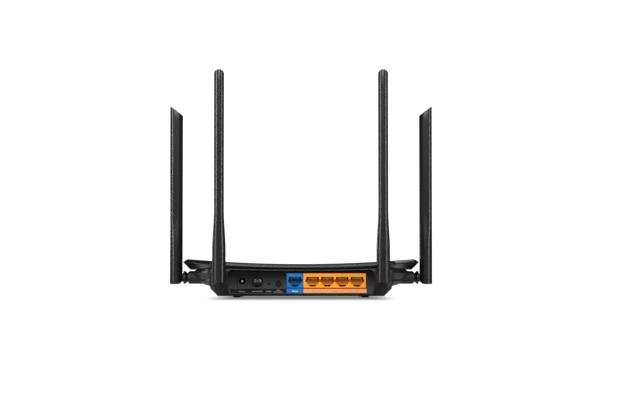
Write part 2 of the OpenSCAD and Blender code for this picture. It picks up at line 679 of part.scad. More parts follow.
// a rod fixed in the hinge block, a thinner wire and a flat strip inside the blade
module radiator(len) translate([0, -pin_reach, 0]) {
    strip_at = block_up + 14;
    translate([0, 0, 6]) cylinder(r = 1, h = block_up - 6);
    translate([0, 0, block_up - 1]) cylinder(r = 0.65, h = strip_at - block_up + 1, $fn = 24);
    translate([-2.7, -0.4, strip_at]) cube([5.4, 0.8, len - strip_at - 30]);
}

module aerial_piece(set, piece) placed(set) {
    if (piece == "knuckle") color(soft_black) knuckle();
    if (piece == "hinge_pin") color(steel) hinge_pin();
    if (piece == "sleeve") color(charcoal) sleeve(set[3]);
    if (piece == "hinge_block") color(soft_black) hinge_block();
    if (piece == "radiator") color(gold) radiator(set[3]);
}

// ---- leads from the aerials to the board --------------------------------------------------------

// a round lead through points, swept with flat-sided rings
LEAD_SIDES = 8;
function bezier(p, t) =
    pow(1 - t, 3) * p[0] + 3 * pow(1 - t, 2) * t * p[1] + 3 * (1 - t) * t * t * p[2] + pow(t, 3) * p[3];
module lead(p, r) {
    spans = 12;
    path = [for (i = [0:spans]) bezier(p, i / spans)];
    skin([for (i = [0:spans])
        let (d = unit(path[min(i + 1, spans)] - path[max(i - 1, 0)]),
             side = unit(cross(d, [0, 0, 1])), up = cross(side, d))
        [for (k = [0:LEAD_SIDES - 1])
            let (a = (k + 0.5) * 360 / LEAD_SIDES) path[i] + r * (cos(a) * side + sin(a) * up)]]);
}

module aerial_leads() color([0.22, 0.22, 0.23]) for (s = [-1, 1]) {
    r = 0.6;
    rear_start = [s * rear_x, seat_y + bearing + 3, rear_z];
    rear_end = [s * 61, panel + 20, board_z + 0.8];
    lead([rear_start, rear_start + [0, 6, 0], [s * 70, panel + 17, 11], rear_end], r);
    side_start = [s * (side_seat - bearing - 3), side_y, side_z];
    side_end = [s * 61, side_y + 16, board_z + 0.8];
    lead([side_start, side_start - [s * 14, 0, 0], [s * 76, side_y + 14, 11], side_end], r);
}

// ---- all pieces ---------------------------------------------------------------------------------

base_shell();
top_cover();
rubber_feet();
case_screws();
board_screws();
rating_label();
port_strip_black();
port_strip_blue();
port_strip_orange();
main_board();
wan_jack();
lan_jack_block();
wan_jack_contacts();
lan_jack_contacts();
dc_jack();
dc_jack_pin();
power_switch();
power_button();
reset_switch();
reset_plunger();
wps_switch();
wps_button();
processor();
thermal_pad();
heat_sink();
memory_chips();
radio_shields();
line_transformers();
electrolytic_capacitors();
power_inductors();
crystal();
status_leds();
light_guide();
aerial_leads();
for (s = SETS, p = PIECES)
    aerial_piece(s, p);
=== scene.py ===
"""Looks of a wireless router with folding aerials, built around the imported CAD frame.

Shapes are drawn in millimetres and become metres where their mesh is made; the CAD nodes, the stage and
everything that Blender measures are in metres. The sockets face -Y, up is +Z, the table is at z = 0.
"""

import json
import math
from collections import namedtuple

import bmesh
import bpy
from mathutils import Matrix, Vector


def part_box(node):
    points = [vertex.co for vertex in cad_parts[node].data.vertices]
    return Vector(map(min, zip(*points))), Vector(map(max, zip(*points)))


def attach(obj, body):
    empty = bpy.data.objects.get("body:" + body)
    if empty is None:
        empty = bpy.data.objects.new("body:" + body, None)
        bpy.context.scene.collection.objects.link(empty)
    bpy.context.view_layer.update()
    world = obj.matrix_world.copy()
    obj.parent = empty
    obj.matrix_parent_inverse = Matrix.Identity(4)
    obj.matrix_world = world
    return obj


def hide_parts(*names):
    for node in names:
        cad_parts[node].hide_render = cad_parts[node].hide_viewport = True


MM = 0.001
Place = namedtuple("Place", "x y z")

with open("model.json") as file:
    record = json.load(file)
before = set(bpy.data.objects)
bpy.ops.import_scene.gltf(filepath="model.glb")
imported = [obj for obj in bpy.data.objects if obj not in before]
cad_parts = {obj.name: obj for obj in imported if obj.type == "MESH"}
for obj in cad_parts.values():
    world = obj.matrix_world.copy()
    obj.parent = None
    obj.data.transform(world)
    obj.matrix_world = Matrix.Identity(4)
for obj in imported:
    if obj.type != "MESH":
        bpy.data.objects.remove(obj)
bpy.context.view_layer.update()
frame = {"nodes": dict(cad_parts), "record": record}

# ---- shader helpers ---------------------------------------------------------------------------------

MIX_SHARE, MIX_FIRST, MIX_SECOND, MIX_RESULT = 0, 6, 7, 2  # sockets of a Mix node for colours


def feed(tree, source, socket):
    """Gives a socket a fixed value, or links it to the output source."""
    if isinstance(source, bpy.types.NodeSocket):
        tree.links.new(source, socket)
    else:
        socket.default_value = source


def map_range(tree, source, old, new, interpolation="LINEAR"):
    """A value moved from the range old to the range new, and held inside it."""
    made = tree.nodes.new("ShaderNodeMapRange")
    made.interpolation_type = interpolation
    made.inputs["From Min"].default_value, made.inputs["From Max"].default_value = old
    made.inputs["To Min"].default_value, made.inputs["To Max"].default_value = new
    tree.links.new(source, made.inputs["Value"])
    return made.outputs["Result"]


def combined(tree, operation, *sources):
    """The result of a math operation on numbers and outputs."""
    made = tree.nodes.new("ShaderNodeMath")
    made.operation = operation
    for source, socket in zip(sources, made.inputs):
        feed(tree, source, socket)
    return made.outputs["Value"]


def mixed(tree, first, second, share=1.0, blend="MIX"):
    """Two colours blended."""
    made = tree.nodes.new("ShaderNodeMix")
    made.data_type = "RGBA"
    made.blend_type = blend
    for source, socket in ((share, MIX_SHARE), (first, MIX_FIRST), (second, MIX_SECOND)):
        feed(tree, source, made.inputs[socket])
    return made.outputs[MIX_RESULT]


def scaled(tree, colour, value):
    """A colour times a number."""
    grey = tree.nodes.new("ShaderNodeCombineColor")
    for channel in ("Red", "Green", "Blue"):
        tree.links.new(value, grey.inputs[channel])
    return mixed(tree, colour, grey.outputs["Color"], blend="MULTIPLY")


# ---- materials --------------------------------------------------------------------------------------

NOISE_SPAN = (0.3, 0.7)  # nearly all values of a noise lie in here
CLOUD_PITCH = 9  # mm between patches of colour and gloss
WEAR_PITCH = 2.5  # mm between patches of worn edge
WEAR_SPAN = (0.97, 0.80)  # cosine between rounded and true normal, where wear starts and is full
WEAR_PATCHES = (0.3, 1.0)  # share of the wear between and in the patches
WEAR_GAIN, WEAR_LIFT = 2.2, 0.03  # a worn edge's colour against the piece's own
GLOSS_SPAN = (0.97, 1.04)  # factors on the roughness, between and in the patches


def finish_material(name, colour, roughness, grain, mottle=0.07, wear=0.0, metallic=0.0, edge=0.25,
                    specular=0.5, stretch=(1, 1, 1), rise=None):
    """A surface whose colour and roughness vary softly, with a moulded grain and lighter, worn edges.

    grain is the height and the pitch of the relief in mm, mottle how far the colour strays in patches,
    wear the strength of worn edges, edge the radius in mm that sharp edges shade with (0 on pieces whose
    edges are modelled round), and stretch the scale of the patterns along each axis.
    rise grades the colour upwards, a painted light and shade: two heights in mm, and the factor on the
    colour at each.
    """
    material = bpy.data.materials.new(name)
    material.use_nodes = True
    tree = material.node_tree
    nodes, links = tree.nodes, tree.links
    shader = nodes["Principled BSDF"]
    shader.inputs["Metallic"].default_value = metallic
    shader.inputs["Specular IOR Level"].default_value = specular

    place = nodes.new("ShaderNodeTexCoord").outputs["Object"]
    mapping = nodes.new("ShaderNodeMapping")
    mapping.inputs["Scale"].default_value = stretch
    links.new(place, mapping.inputs["Vector"])

    def noise(pitch_mm, detail):
        made = nodes.new("ShaderNodeTexNoise")
        made.inputs["Scale"].default_value = 1 / (pitch_mm * MM)
        made.inputs["Detail"].default_value = detail
        links.new(mapping.outputs["Vector"], made.inputs["Vector"])
        return made.outputs["Fac"]

    cloud = noise(CLOUD_PITCH, detail=4)
    base = scaled(tree, (*colour, 1), map_range(tree, cloud, NOISE_SPAN, (1 - mottle, 1 + mottle)))
    # painted light and shade: the colour is scaled from one factor at a low height to another at a high
    # one
    if rise:
        low, high, low_factor, high_factor = rise
        split = nodes.new("ShaderNodeSeparateXYZ")
        links.new(place, split.inputs["Vector"])
        level = map_range(tree, split.outputs["Z"], (low * MM, high * MM), (low_factor, high_factor))
        base = scaled(tree, base, level)

    relief = nodes.new("ShaderNodeBump")
    relief.inputs["Strength"].default_value = 1.0
    relief.inputs["Distance"].default_value = grain[0] * MM
    links.new(noise(grain[1], detail=2), relief.inputs["Height"])
    if edge > 0:
        bevel = nodes.new("ShaderNodeBevel")
        bevel.samples = 4
        bevel.inputs["Radius"].default_value = edge * MM
        links.new(bevel.outputs["Normal"], relief.inputs["Normal"])
    if edge > 0 and wear > 0:
        match = nodes.new("ShaderNodeVectorMath")
        match.operation = "DOT_PRODUCT"
        links.new(bevel.outputs["Normal"], match.inputs[0])
        links.new(nodes.new("ShaderNodeNewGeometry").outputs["Normal"], match.inputs[1])
        worn = map_range(tree, match.outputs["Value"], WEAR_SPAN, (0, wear))
        patches = map_range(tree, noise(WEAR_PITCH, detail=3), NOISE_SPAN, WEAR_PATCHES)
        bright = tuple(min(1, c * WEAR_GAIN + WEAR_LIFT) for c in colour) + (1,)
        base = mixed(tree, base, bright, combined(tree, "MULTIPLY", worn, patches))
    links.new(base, shader.inputs["Base Color"])
    gloss = map_range(tree, cloud, NOISE_SPAN, [roughness * factor for factor in GLOSS_SPAN])
    links.new(gloss, shader.inputs["Roughness"])
    links.new(relief.outputs["Normal"], shader.inputs["Normal"])
    return material


CASE = (0.0045, 0.0045, 0.0048)
FINISHES = {
    # the case and the aerials
    "case_plastic": dict(colour=CASE, roughness=0.42, grain=(0.004, 0.45), edge=0),
    "cover_band": dict(colour=CASE, roughness=0.25, grain=(0.001, 0.6), edge=0),
    "cover_top": dict(colour=(0.013, 0.013, 0.0135), roughness=0.42, grain=(0.006, 0.5), edge=0),
    # the port panel's colour is painted lighter low down and darker high up, a painted light and shade
    "port_panel": dict(colour=CASE, roughness=0.62, grain=(0.012, 0.45), edge=0.35, specular=0.2,
                       rise=(8, 21, 7, 0.1)),
    "aerial_plastic": dict(colour=CASE, roughness=0.29, grain=(0.002, 0.5), edge=0),
    "hinge_plastic": dict(colour=(0.004, 0.004, 0.0042), roughness=0.34, grain=(0.01, 0.4), wear=0.3),
    "button_plastic": dict(colour=(0.012, 0.012, 0.0125), roughness=0.24, grain=(0.002, 0.5),
                           wear=0.1),
    "rubber": dict(colour=(0.005, 0.005, 0.005), roughness=0.75, grain=(0.02, 0.3), edge=0.3),
    "cable": dict(colour=(0.015, 0.015, 0.016), roughness=0.45, grain=(0.006, 0.3), edge=0.1),
    # printed films, the label and the marks on them
    "label": dict(colour=(0.62, 0.62, 0.60), roughness=0.5, grain=(0.003, 0.8), mottle=0.04, edge=0.05),
    "pale_ink": dict(colour=(0.20, 0.185, 0.17), roughness=0.5, grain=(0.002, 0.5), edge=0.02),
    "blue_ink": dict(colour=(0.25, 0.62, 0.85), roughness=0.5, grain=(0.002, 0.5), edge=0.02),
    "dark_ink": dict(colour=(0.35, 0.05, 0.01), roughness=0.5, grain=(0.002, 0.5), edge=0.02),
    "black_film": dict(colour=(0.006, 0.0045, 0.004), roughness=0.6, grain=(0.003, 0.5), edge=0.05,
                       specular=0.15),
    "blue_film": dict(colour=(0.001, 0.13, 0.40), roughness=0.5, grain=(0.003, 0.5), mottle=0.05,
                      edge=0.05, specular=0.12),
    "orange_film": dict(colour=(0.74, 0.235, 0.065), roughness=0.5, grain=(0.003, 0.5), mottle=0.05,
                        edge=0.05, specular=0.15),
    # the sockets; their recessed parts are painted in darker copies of their colours, a painted shade,
    # and so is the power socket's hole
    "blue_socket": dict(colour=(0.001, 0.116, 0.33), roughness=0.42, grain=(0.006, 0.4), mottle=0.08,
                        wear=0.35, edge=0.2, specular=0.25),
    "blue_painted_shade": dict(colour=(0.003, 0.02, 0.07), roughness=0.6, grain=(0.006, 0.4), edge=0.1,
                      specular=0.2),
    "orange_socket": dict(colour=(0.74, 0.25, 0.012), roughness=0.45, grain=(0.006, 0.4), mottle=0.08,
                          wear=0.2, edge=0.2, specular=0.25),
    "orange_painted_shade": dict(colour=(0.16, 0.022, 0.004), roughness=0.6, grain=(0.006, 0.4), edge=0.1,
                        specular=0.2),
    "jack_plastic": dict(colour=(0.0012, 0.0012, 0.0012), roughness=0.6, grain=(0.006, 0.4), edge=0.2,
                         specular=0.15),
    "plated_pin": dict(colour=(0.36, 0.355, 0.35), roughness=0.4, grain=(0.002, 0.3), mottle=0.04,
                       metallic=0.1, edge=0.1),
    "contact_gold": dict(colour=(0.83, 0.58, 0.20), roughness=0.25, grain=(0.002, 0.2), metallic=1,
                         wear=0.2, edge=0.05),
    # the inside
    "steel": dict(colour=(0.55, 0.56, 0.57), roughness=0.28, grain=(0.004, 0.3), metallic=1, wear=0.3,
                  edge=0.1),
    "board": dict(colour=(0.012, 0.09, 0.035), roughness=0.35, grain=(0.004, 0.6), wear=0.2, edge=0.1),
    "chip": dict(colour=(0.014, 0.014, 0.015), roughness=0.5, grain=(0.008, 0.25), wear=0.3, edge=0.1),
    "switch": dict(colour=(0.02, 0.02, 0.022), roughness=0.45, grain=(0.006, 0.3), wear=0.25, edge=0.1),
    "pad": dict(colour=(0.30, 0.38, 0.45), roughness=0.7, grain=(0.01, 0.4), edge=0.1),
    "heatsink": dict(colour=(0.62, 0.63, 0.65), roughness=0.35, grain=(0.006, 0.3), metallic=1,
                     wear=0.3, edge=0.1, stretch=(1, 0.1, 1)),
    "capacitor": dict(colour=(0.03, 0.045, 0.09), roughness=0.3, grain=(0.002, 0.5), wear=0.2),
    "ferrite": dict(colour=(0.045, 0.045, 0.047), roughness=0.6, grain=(0.02, 0.25), wear=0.3),
    "led": dict(colour=(0.80, 0.80, 0.68), roughness=0.3, grain=(0.002, 0.3), edge=0.05),
    "clear": dict(colour=(0.75, 0.80, 0.84), roughness=0.2, grain=(0.002, 0.4), mottle=0.04, edge=0.1),
    "radiator": dict(colour=(0.66, 0.42, 0.14), roughness=0.32, grain=(0.004, 0.3), metallic=1,
                     wear=0.3, edge=0.05),
}
MATERIALS = {name: finish_material(name, **finish) for name, finish in FINISHES.items()}


def paint(obj, name):
    """Gives an object one material, or none."""
    obj.data.materials.clear()
    if name:
        obj.data.materials.append(MATERIALS[name])


# ---- mesh helpers -----------------------------------------------------------------------------------


SMOOTH_BELOW = 35  # degrees; edges flatter than this shade smooth
PAST = 1  # mm that a cutter reaches past the surface that it opens
UP = (0, 0, 1)


def box_mm(node):
    """The two corners of a CAD node's box, in mm."""
    return [Place(*(c / MM for c in corner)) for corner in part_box(node)]


def middle(node):
    """The centre of a CAD node's box, in mm."""
    return Place(*((a + b) / 2 for a, b in zip(*box_mm(node))))


def mesh_object(name, points, faces, material, smooth_below=SMOOTH_BELOW):
    """A new object from points in mm; edges flatter than smooth_below degrees shade smooth."""
    mesh = bpy.data.meshes.new(name)
    mesh.from_pydata([tuple(c * MM for c in p) for p in points], [], faces)
    mesh.validate()
    obj = bpy.data.objects.new(name, mesh)
    bpy.context.collection.objects.link(obj)
    paint(obj, material)
    settle(obj, smooth_below)
    return obj


def settle(obj, smooth_below=SMOOTH_BELOW):
    """Turns the faces outwards and shades edges flatter than smooth_below degrees smooth."""
    shape = bmesh.new()
    shape.from_mesh(obj.data)
    bmesh.ops.recalc_face_normals(shape, faces=shape.faces)
    for face in shape.faces:
        face.smooth = True
    flat = math.radians(smooth_below)
    for edge in shape.edges:
        edge.smooth = len(edge.link_faces) == 2 and edge.calc_face_angle(math.pi) < flat
    shape.to_mesh(obj.data)
    shape.free()


def soften(obj):
    """Smooth shading across a CAD node's flatter edges; its vertices stay as they are."""
    if "custom_normal" in obj.data.attributes:
        obj.data.attributes.remove(obj.data.attributes["custom_normal"])
    obj.data.shade_smooth()
    weld = obj.modifiers.new("weld", "WELD")
    weld.merge_threshold = 1e-6
    split = obj.modifiers.new("split", "EDGE_SPLIT")
    split.split_angle = math.radians(SMOOTH_BELOW)


def strip_cap(count, start):
    """Faces across a ring whose point i lies opposite point count - 1 - i."""
    return [(start + i, start + i + 1, start + count - 2 - i, start + count - 1 - i)
            for i in range(count // 2 - 1)]


def fan_cap(count, start):
    """One face across a ring."""
    return [tuple(range(start, start + count))]


def skin(name, rings, material=None, cap=fan_cap, smooth_below=SMOOTH_BELOW):
    """A closed skin through rings with the same number of points."""
    count = len(rings[0])
    faces = cap(count, 0) + cap(count, (len(rings) - 1) * count)
    for j in range(len(rings) - 1):
        for i in range(count):
            a, d = j * count + i, j * count + (i + 1) % count
            faces.append((a, a + count, d + count, d))
    return mesh_object(name, [p for ring in rings for p in ring], faces, material, smooth_below)


def toward(a, b, distance):
    """The point at a distance from a on the way to b, no further than half way."""
    way = Vector(b) - Vector(a)
    return Vector(a) + way * min(0.5, distance / max(way.length, 1e-6))


def bend(a, v, b, radius, steps):
    """Points that round the corner v of the path a, v, b, starting radius away from it."""
    p, q, v = toward(v, a, radius), toward(v, b, radius), Vector(v)
    return [p * (1 - t) ** 2 + v * 2 * t * (1 - t) + q * t ** 2
            for t in (k / steps for k in range(steps + 1))]


def rounded_rings(rings, radii, steps):
    """The same rings with each inner one opened into a rounded corner of its radius."""
    made = [rings[0]]
    for j in range(1, len(rings) - 1):
        if radii[j] <= 0:
            made.append(rings[j])
            continue
        corners = [bend(a, v, b, radii[j], steps)
                   for a, v, b in zip(rings[j - 1], rings[j], rings[j + 1])]
        made += [list(ring) for ring in zip(*corners)]
    return made + [rings[-1]]


def lathe(name, profile, material, place, sides, smooth_below=SMOOTH_BELOW):
    """A closed solid of revolution about +Y through (radius, y) points, then moved by place."""
    rings = [[place @ Vector((r * math.cos(a), y, r * math.sin(a)))
              for a in (2 * math.pi * k / sides for k in range(sides))] for r, y in profile]
    return skin(name, rings, material, fan_cap, smooth_below)


def block(name, low, high, material=None, radius=0.0, steps=3):
    """A box between two corners in mm, its edges rounded to radius."""
    points = [(x, y, z) for x in (low[0], high[0]) for y in (low[1], high[1])
              for z in (low[2], high[2])]
    faces = [(0, 1, 3, 2), (4, 6, 7, 5), (0, 4, 5, 1), (2, 3, 7, 6), (0, 2, 6, 4), (1, 5, 7, 3)]
    obj = mesh_object(name, points, faces, material)
    if radius > 0:
        shape = bmesh.new()
        shape.from_mesh(obj.data)
        bmesh.ops.bevel(shape, geom=shape.edges[:], offset=radius * MM, segments=steps,
                        profile=0.5, affect="EDGES", clamp_overlap=True)
        shape.to_mesh(obj.data)
        shape.free()
        settle(obj)
    return obj


def cylinder(name, start, radius, length, axis, sides=32):
    """A plain cylinder in mm that begins at start and runs along axis."""
    turn = Vector((0, 1, 0)).rotation_difference(Vector(axis)).to_matrix().to_4x4()
    return lathe(name, [(radius, 0), (radius, length)], None, Matrix.Translation(start) @ turn, sides)


def prism(name, outline, y0, y1, material=None):
    """A plate across the case: an outline of (x, z) points between y0 and y1."""
    return skin(name, [[(x, y, z) for x, z in outline] for y in (y0, y1)], material)


def plug(name, outline, z0, z1):
    """An upright plug: an outline of (x, y) points between z0 and z1."""
    return skin(name, [[(x, y, z) for x, y in outline] for z in (z0, z1)])


def oval(x, y, width, height, steps=8):
    """Outline of a slot with round ends, round x and y."""
    r = min(width, height) / 2
    return [(x + math.copysign(width / 2 - r, math.cos(a)) + r * math.cos(a),
             y + math.copysign(height / 2 - r, math.sin(a)) + r * math.sin(a))
            for a in (math.pi * (k + 0.5) / (2 * steps) for k in range(4 * steps))]


def cut(obj, cutters, smooth_below=SMOOTH_BELOW):
    """Takes the cutters out of obj and deletes them; a painted cutter paints the faces that it leaves."""
    for cutter in cutters:
        if not cutter.data.materials and obj.data.materials:
            cutter.data.materials.append(obj.data.materials[0])
        step = obj.modifiers.new("cut", "BOOLEAN")
        step.material_mode = "TRANSFER"
        step.operation = "DIFFERENCE"
        step.solver = "EXACT"
        step.object = cutter
    bpy.context.view_layer.update()
    graph = bpy.context.evaluated_depsgraph_get()
    made = bpy.data.meshes.new_from_object(obj.evaluated_get(graph), depsgraph=graph)
    obj.modifiers.clear()
    obj.data = made
    for cutter in cutters:
        bpy.data.objects.remove(cutter, do_unlink=True)
    settle(obj, smooth_below)


def join(name, parts, body):
    """One piece out of several objects with the same material."""
    shape = bmesh.new()
    for part in parts:
        shape.from_mesh(part.data)
    whole = parts[0]
    shape.to_mesh(whole.data)
    shape.free()
    for part in parts[1:]:
        bpy.data.objects.remove(part, do_unlink=True)
    whole.name = name
    settle(whole)
    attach(whole, body)


# ---- the case's outline -----------------------------------------------------------------------------

PANEL = box_mm("port_strip_black")[1].y  # plane of the port panel, on which the films lie
SIDE_Y = middle("side_left_aerial_sleeve").y  # the tips of the wings, where the side aerials stand
REAR = box_mm("top_cover")[0].y
FRONT = box_mm("top_cover")[1].y
HALF_W = box_mm("top_cover")[1].x

TOP_Z = 31.7  # the cover's top, in the middle
TOP_R = 1190  # radius on which the top rises to both sides
SEAM_Z = 26.6  # the cover's lower edge, at the wings
SEAM_UP, SEAM_BOW = 1, 0.3  # it runs this much higher in the middle, and follows a share of the bow
SEAM_END, SEAM_FADE = 80, 22  # where it begins to drop to the wings, and how far that takes
TIP_HALF = 8  # half the length of a wing's blunt tip
PLAN_ROUNDS = [0, 9, 7, 7, 18, 0]  # the roundness of each corner of the plan


def smooth(t):
    """0 below 0, 1 above 1, and an S-curve between."""
    t = min(max(t, 0), 1)
    return t * t * (3 - 2 * t)


def arc_z(x):
    """Rise of the bowed top at x."""
    return x * x / (2 * TOP_R)


def seam_rise(x):
    """Height of the seam above its height at the wings."""
    return (SEAM_UP + SEAM_BOW * arc_z(x)) * (1 - smooth((abs(x) - SEAM_END) / SEAM_FADE))


def tip_z(x):
    """Height of the cover's outermost edge."""
    return TOP_Z - RIM_DOWN + arc_z(x)


def plan(half_w, rear_w, rear_y, front_w, front_y, spans=14, steps=10):
    """The six-sided plan, anticlockwise from the left tip; point i faces point n - 1 - i.

    half_w, rear_w and front_w are half widths at the tips, the rear edge and the front edge.
    """
    corner = [(0, rear_y), (rear_w, rear_y), (half_w, SIDE_Y - TIP_HALF), (half_w, SIDE_Y + TIP_HALF),
              (front_w, front_y), (0, front_y)]
    rear = [((rear_w - PLAN_ROUNDS[1]) * i / spans, rear_y) for i in range(1, spans)]
    front = [((front_w - PLAN_ROUNDS[4]) * i / spans, front_y) for i in range(1, spans)]
    rounds = [[(p.x, p.y) for p in bend(corner[k - 1] + (0,), corner[k] + (0,), corner[k + 1] + (0,),
                                        PLAN_ROUNDS[k], steps)] for k in range(1, 5)]
    rear_right = rear + rounds[0] + rounds[1]
    front_right = rounds[2] + rounds[3] + front[::-1]

    def mirrored(points):
        return [(-x, y) for x, y in points][::-1]

    return (mirrored(rear_right) + [(0, rear_y)] + rear_right
            + front_right + [(0, front_y)] + mirrored(front_right))


def outward(ring):
    """The outward direction at each point of a ring."""
    count = len(ring)
    made = []
    for i in range(count):
        d = Vector(ring[(i + 1) % count]) - Vector(ring[i - 1])
        made.append(Vector((d.y, -d.x)).normalized())
    return made


# ---- the cover --------------------------------------------------------------------------------------

COVER_REAR_W, COVER_FRONT_W = 88, 86  # half widths of the cover's rear and front edges
WALL = 2.2
RIM_IN, RIM_DOWN = 4.2, 3.4  # width and fall of the slope round the cover's top
TOP_MARGIN = 6  # from the slope to the ring where the top's cap begins
TIP_DROP = 0.05  # the rim's corners are drawn this far under the height of its edge
RIM_WALL_IN = 5.8  # from the outermost edge to the rim's inner face
TOP_WALL_IN = 7.2  # and to the edge of the top's underside
FOOT_IN = 4.6  # width of the cover's lower edge
VENT_COUNT, VENT_X, VENT_PITCH = 9, 58, 4.6
VENT_W, VENT_LONG, VENT_STEP = 1.9, 30, 1.2  # each slot is a step shorter than the one inside it
VENT_Y = PANEL + 30
VENT_SPAN = (TOP_Z - 3, TOP_Z + 14)  # heights between which the slots are cut
LED_COUNT, LED_X, LED_PITCH, LED_HOLE_R = 6, -20, 8, 1.25
LED_REACH = 5  # the holes are cut this far below and above the top
TOP_FACING = 0.97  # the upward part of a unit normal that makes a face one of the top's
TOP_BELOW = 0.5  # and how far under the top's height it may lie


def cover_rings():
    """Rings of the cover, from the underside of its top, round its lower edge, to its top."""
    ring = plan(HALF_W, COVER_REAR_W, REAR, COVER_FRONT_W, FRONT)

    def top(x):
        return TOP_Z + arc_z(x)

    def seam(x):
        return SEAM_Z + seam_rise(x)

    def slope_in(x):  # the face under the outermost edge leans in by 45 degrees
        return tip_z(x) - seam(x)

    profile = [  # distance in from the outermost edge, height, roundness
        (lambda x: TOP_WALL_IN, lambda x: top(x) - WALL, 0),
        (lambda x: RIM_WALL_IN, lambda x: tip_z(x) - 2 * TIP_DROP, 0),
        (lambda x: slope_in(x) + FOOT_IN, seam, 0.1),
        (slope_in, seam, 0.3),
        (lambda x: 0, lambda x: tip_z(x) - TIP_DROP, 0.9),
        (lambda x: RIM_IN, top, 1.3),
        (lambda x: RIM_IN + TOP_MARGIN, top, 0),
    ]
    out = outward(ring)
    rings = []
    for inset, height, _ in profile:
        inner = [(x - inset(x) * n.x, y - inset(x) * n.y) for (x, y), n in zip(ring, out)]
        rings.append([(x, y, height(x)) for x, y in inner])
    return rounded_rings(rings, [roundness for _, _, roundness in profile], steps=5)


def make_cover():
    """The top cover with its cooling slots and the holes for the indicator lights."""
    cover = skin("case_cover", cover_rings(), "cover_band", strip_cap)
    cutters = []
    for side in (-1, 1):
        for i in range(VENT_COUNT):
            slot = oval(side * (VENT_X + VENT_PITCH * i), VENT_Y, VENT_W, VENT_LONG - VENT_STEP * i)
            cutters.append(plug("slot", slot, *VENT_SPAN))
    for i in range(LED_COUNT):
        start = (LED_X + LED_PITCH * i, middle("status_leds").y, TOP_Z - LED_REACH)
        cutters.append(cylinder("hole", start, LED_HOLE_R, 2 * LED_REACH, UP))
    cut(cover, cutters)
    cover.data.materials.append(MATERIALS["cover_top"])
    for face in cover.data.polygons:
        if face.normal.z > TOP_FACING and face.center.z > (TOP_Z - TOP_BELOW) * MM:
            face.material_index = len(cover.data.materials) - 1
    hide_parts("top_cover")
    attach(cover, "case")


# ---- the base ---------------------------------------------------------------------------------------

RECESS_D = 3.0  # from the plane of the rear aerials' seats to the port panel
BASE_RINGS = [  # height, half width, rear half width, rear y, front half width, front y, rise, roundness
    # outside: the underside's edge, the slope to the flank, the flank and the lip under the cover
    (1.3, 79.6, 79.1, 0.2, 73, 121, 0, 0.6),
    (8.4, 86.6, 86.1, 0.9 - RECESS_D, 79, 127.6, 0, 0.8),
    (10.4, 86.7, 86.2, 0.9 - RECESS_D, 79, 127.7, 0, 0.5),
    (10.7, 88.0, 86.6, -RECESS_D, 79, 128.2, 0, 0.5),
    (12.1, 94.5, 86.8, -RECESS_D, 80, 129, 0, 2.2),
    (15.6, 98.4, 86.8, -RECESS_D, 81, 130.2, 0, 0.6),
    (17.0, 98.2, 86.4, -RECESS_D, 81, 130.2, 0, 0.8),
    (22.4, 104.1, 86.4, -RECESS_D, 82.2, 132.6, 0, 0.4),
    (23.0, 105.0, 86.6, -RECESS_D, 82.6, 133.6, 0.1, 0.3),
    (24.2, 104.8, 86.6, -RECESS_D, 82.8, 134.2, 0.5, 0.4),
    (25.4, 103.9, 86.2, 0.55 - RECESS_D, 82.6, 134.4, 0.85, 0.4),
    (26.2, 103.0, 85.8, 0.9 - RECESS_D, 82.4, 134, 1, 0.3),
    # top edge: the tongue that reaches into the cover
    (26.2, 101.9, 82.2, 1.35, 80.2, 130.65, 1, 0),
    (26.9, 101.8, 82.1, 1.4, 80.1, 130.6, 1, 0),
    (26.9, 100.7, 81.0, 2.6, 79, 129.4, 1, 0),
    # inside, down to the floor
    (23.6, 100.4, 83.6, 2.2, 80, 130.2, 0.5, 0),
    (17.4, 95.8, 83.6, 2.2, 78.6, 127.8, 0, 0),
    (14.2, 92.4, 83.6, 2.2, 78, 126.4, 0, 0),
    (12.6, 84.2, 83.6, 2.2, 77, 125.6, 0, 0),
    (9.0, 84.0, 83.4, 2.2, 76.6, 125.2, 0, 0),
    (3.5, 78.0, 77.4, 2.2, 71, 119.4, 0, 0),
]

RECESS_HALF_W = 68.4
RECESS_LOW, RECESS_HIGH = 3.4, 25.7
RECESS_R = 4
RECESS_SAG = 1.3  # the upper edge hangs this much lower in the middle
RECESS_STEPS = [(-4, 1.4), (-2.6, 0.7), (-1.4, 0.7), (-1.4, 0.0), (0, 0.0)]  # y from the panel, growth
PANEL_IN = 4  # cutters through the panel end this far behind it
WINDOW_BELOW, WINDOW_ABOVE = 0.1, 0.2  # gaps round the sockets
SOCKET_SIDE, JACK_SIDE = 0.15, 0.2
POWER_HOLE_R, RESET_HOLE_R = 4.9, 1.0
PUSH_HOLE = (4.7, 6)

FLOOR_TOP = 6  # cutters through the bottom end here
FOOT_X, FOOT_YS, FOOT_R, FOOT_DEEP = 60.9, (12, 115), 4.1, 1.9
SCREWS = ((-72, 24), (72, 24), (-60, 112), (60, 112))
SCREW_R, SCREW_DEEP = 2.9, 7
KEY_X, KEY_Y, KEY_R = 45, PANEL + 66, 4
KEY_SLOT_Y, KEY_SLOT_W, KEY_SLOT_LONG = 4.5, 4.2, 13.2
GRILLE_X, GRILLE_PITCH, GRILLE_COUNT, GRILLE_YS = 13, 7, 7, (38, 90)
GRILLE_W, GRILLE_LONG = 2, 24
LABEL_HALF_W, LABEL_HALF_LONG, LABEL_DEEP = 29, 9, 1.45


def recess_outline(grow):
    """The port recess with rounded upper corners and a sagging upper edge, grown on all sides."""
    w, low, high, r = RECESS_HALF_W + grow, RECESS_LOW - grow, RECESS_HIGH + grow, RECESS_R + grow
    right = [(w, low), (w, high - r)]
    right += [(w - r + r * math.cos(a), high - r + r * math.sin(a))
              for a in (math.radians(d) for d in range(9, 90, 9))]
    top = [(x, high - RECESS_SAG * (1 - (x / w) ** 2))
           for x in ((w - r) * i / 12 for i in range(12, -13, -1))]
    return right + top + [(-x, z) for x, z in right][::-1]


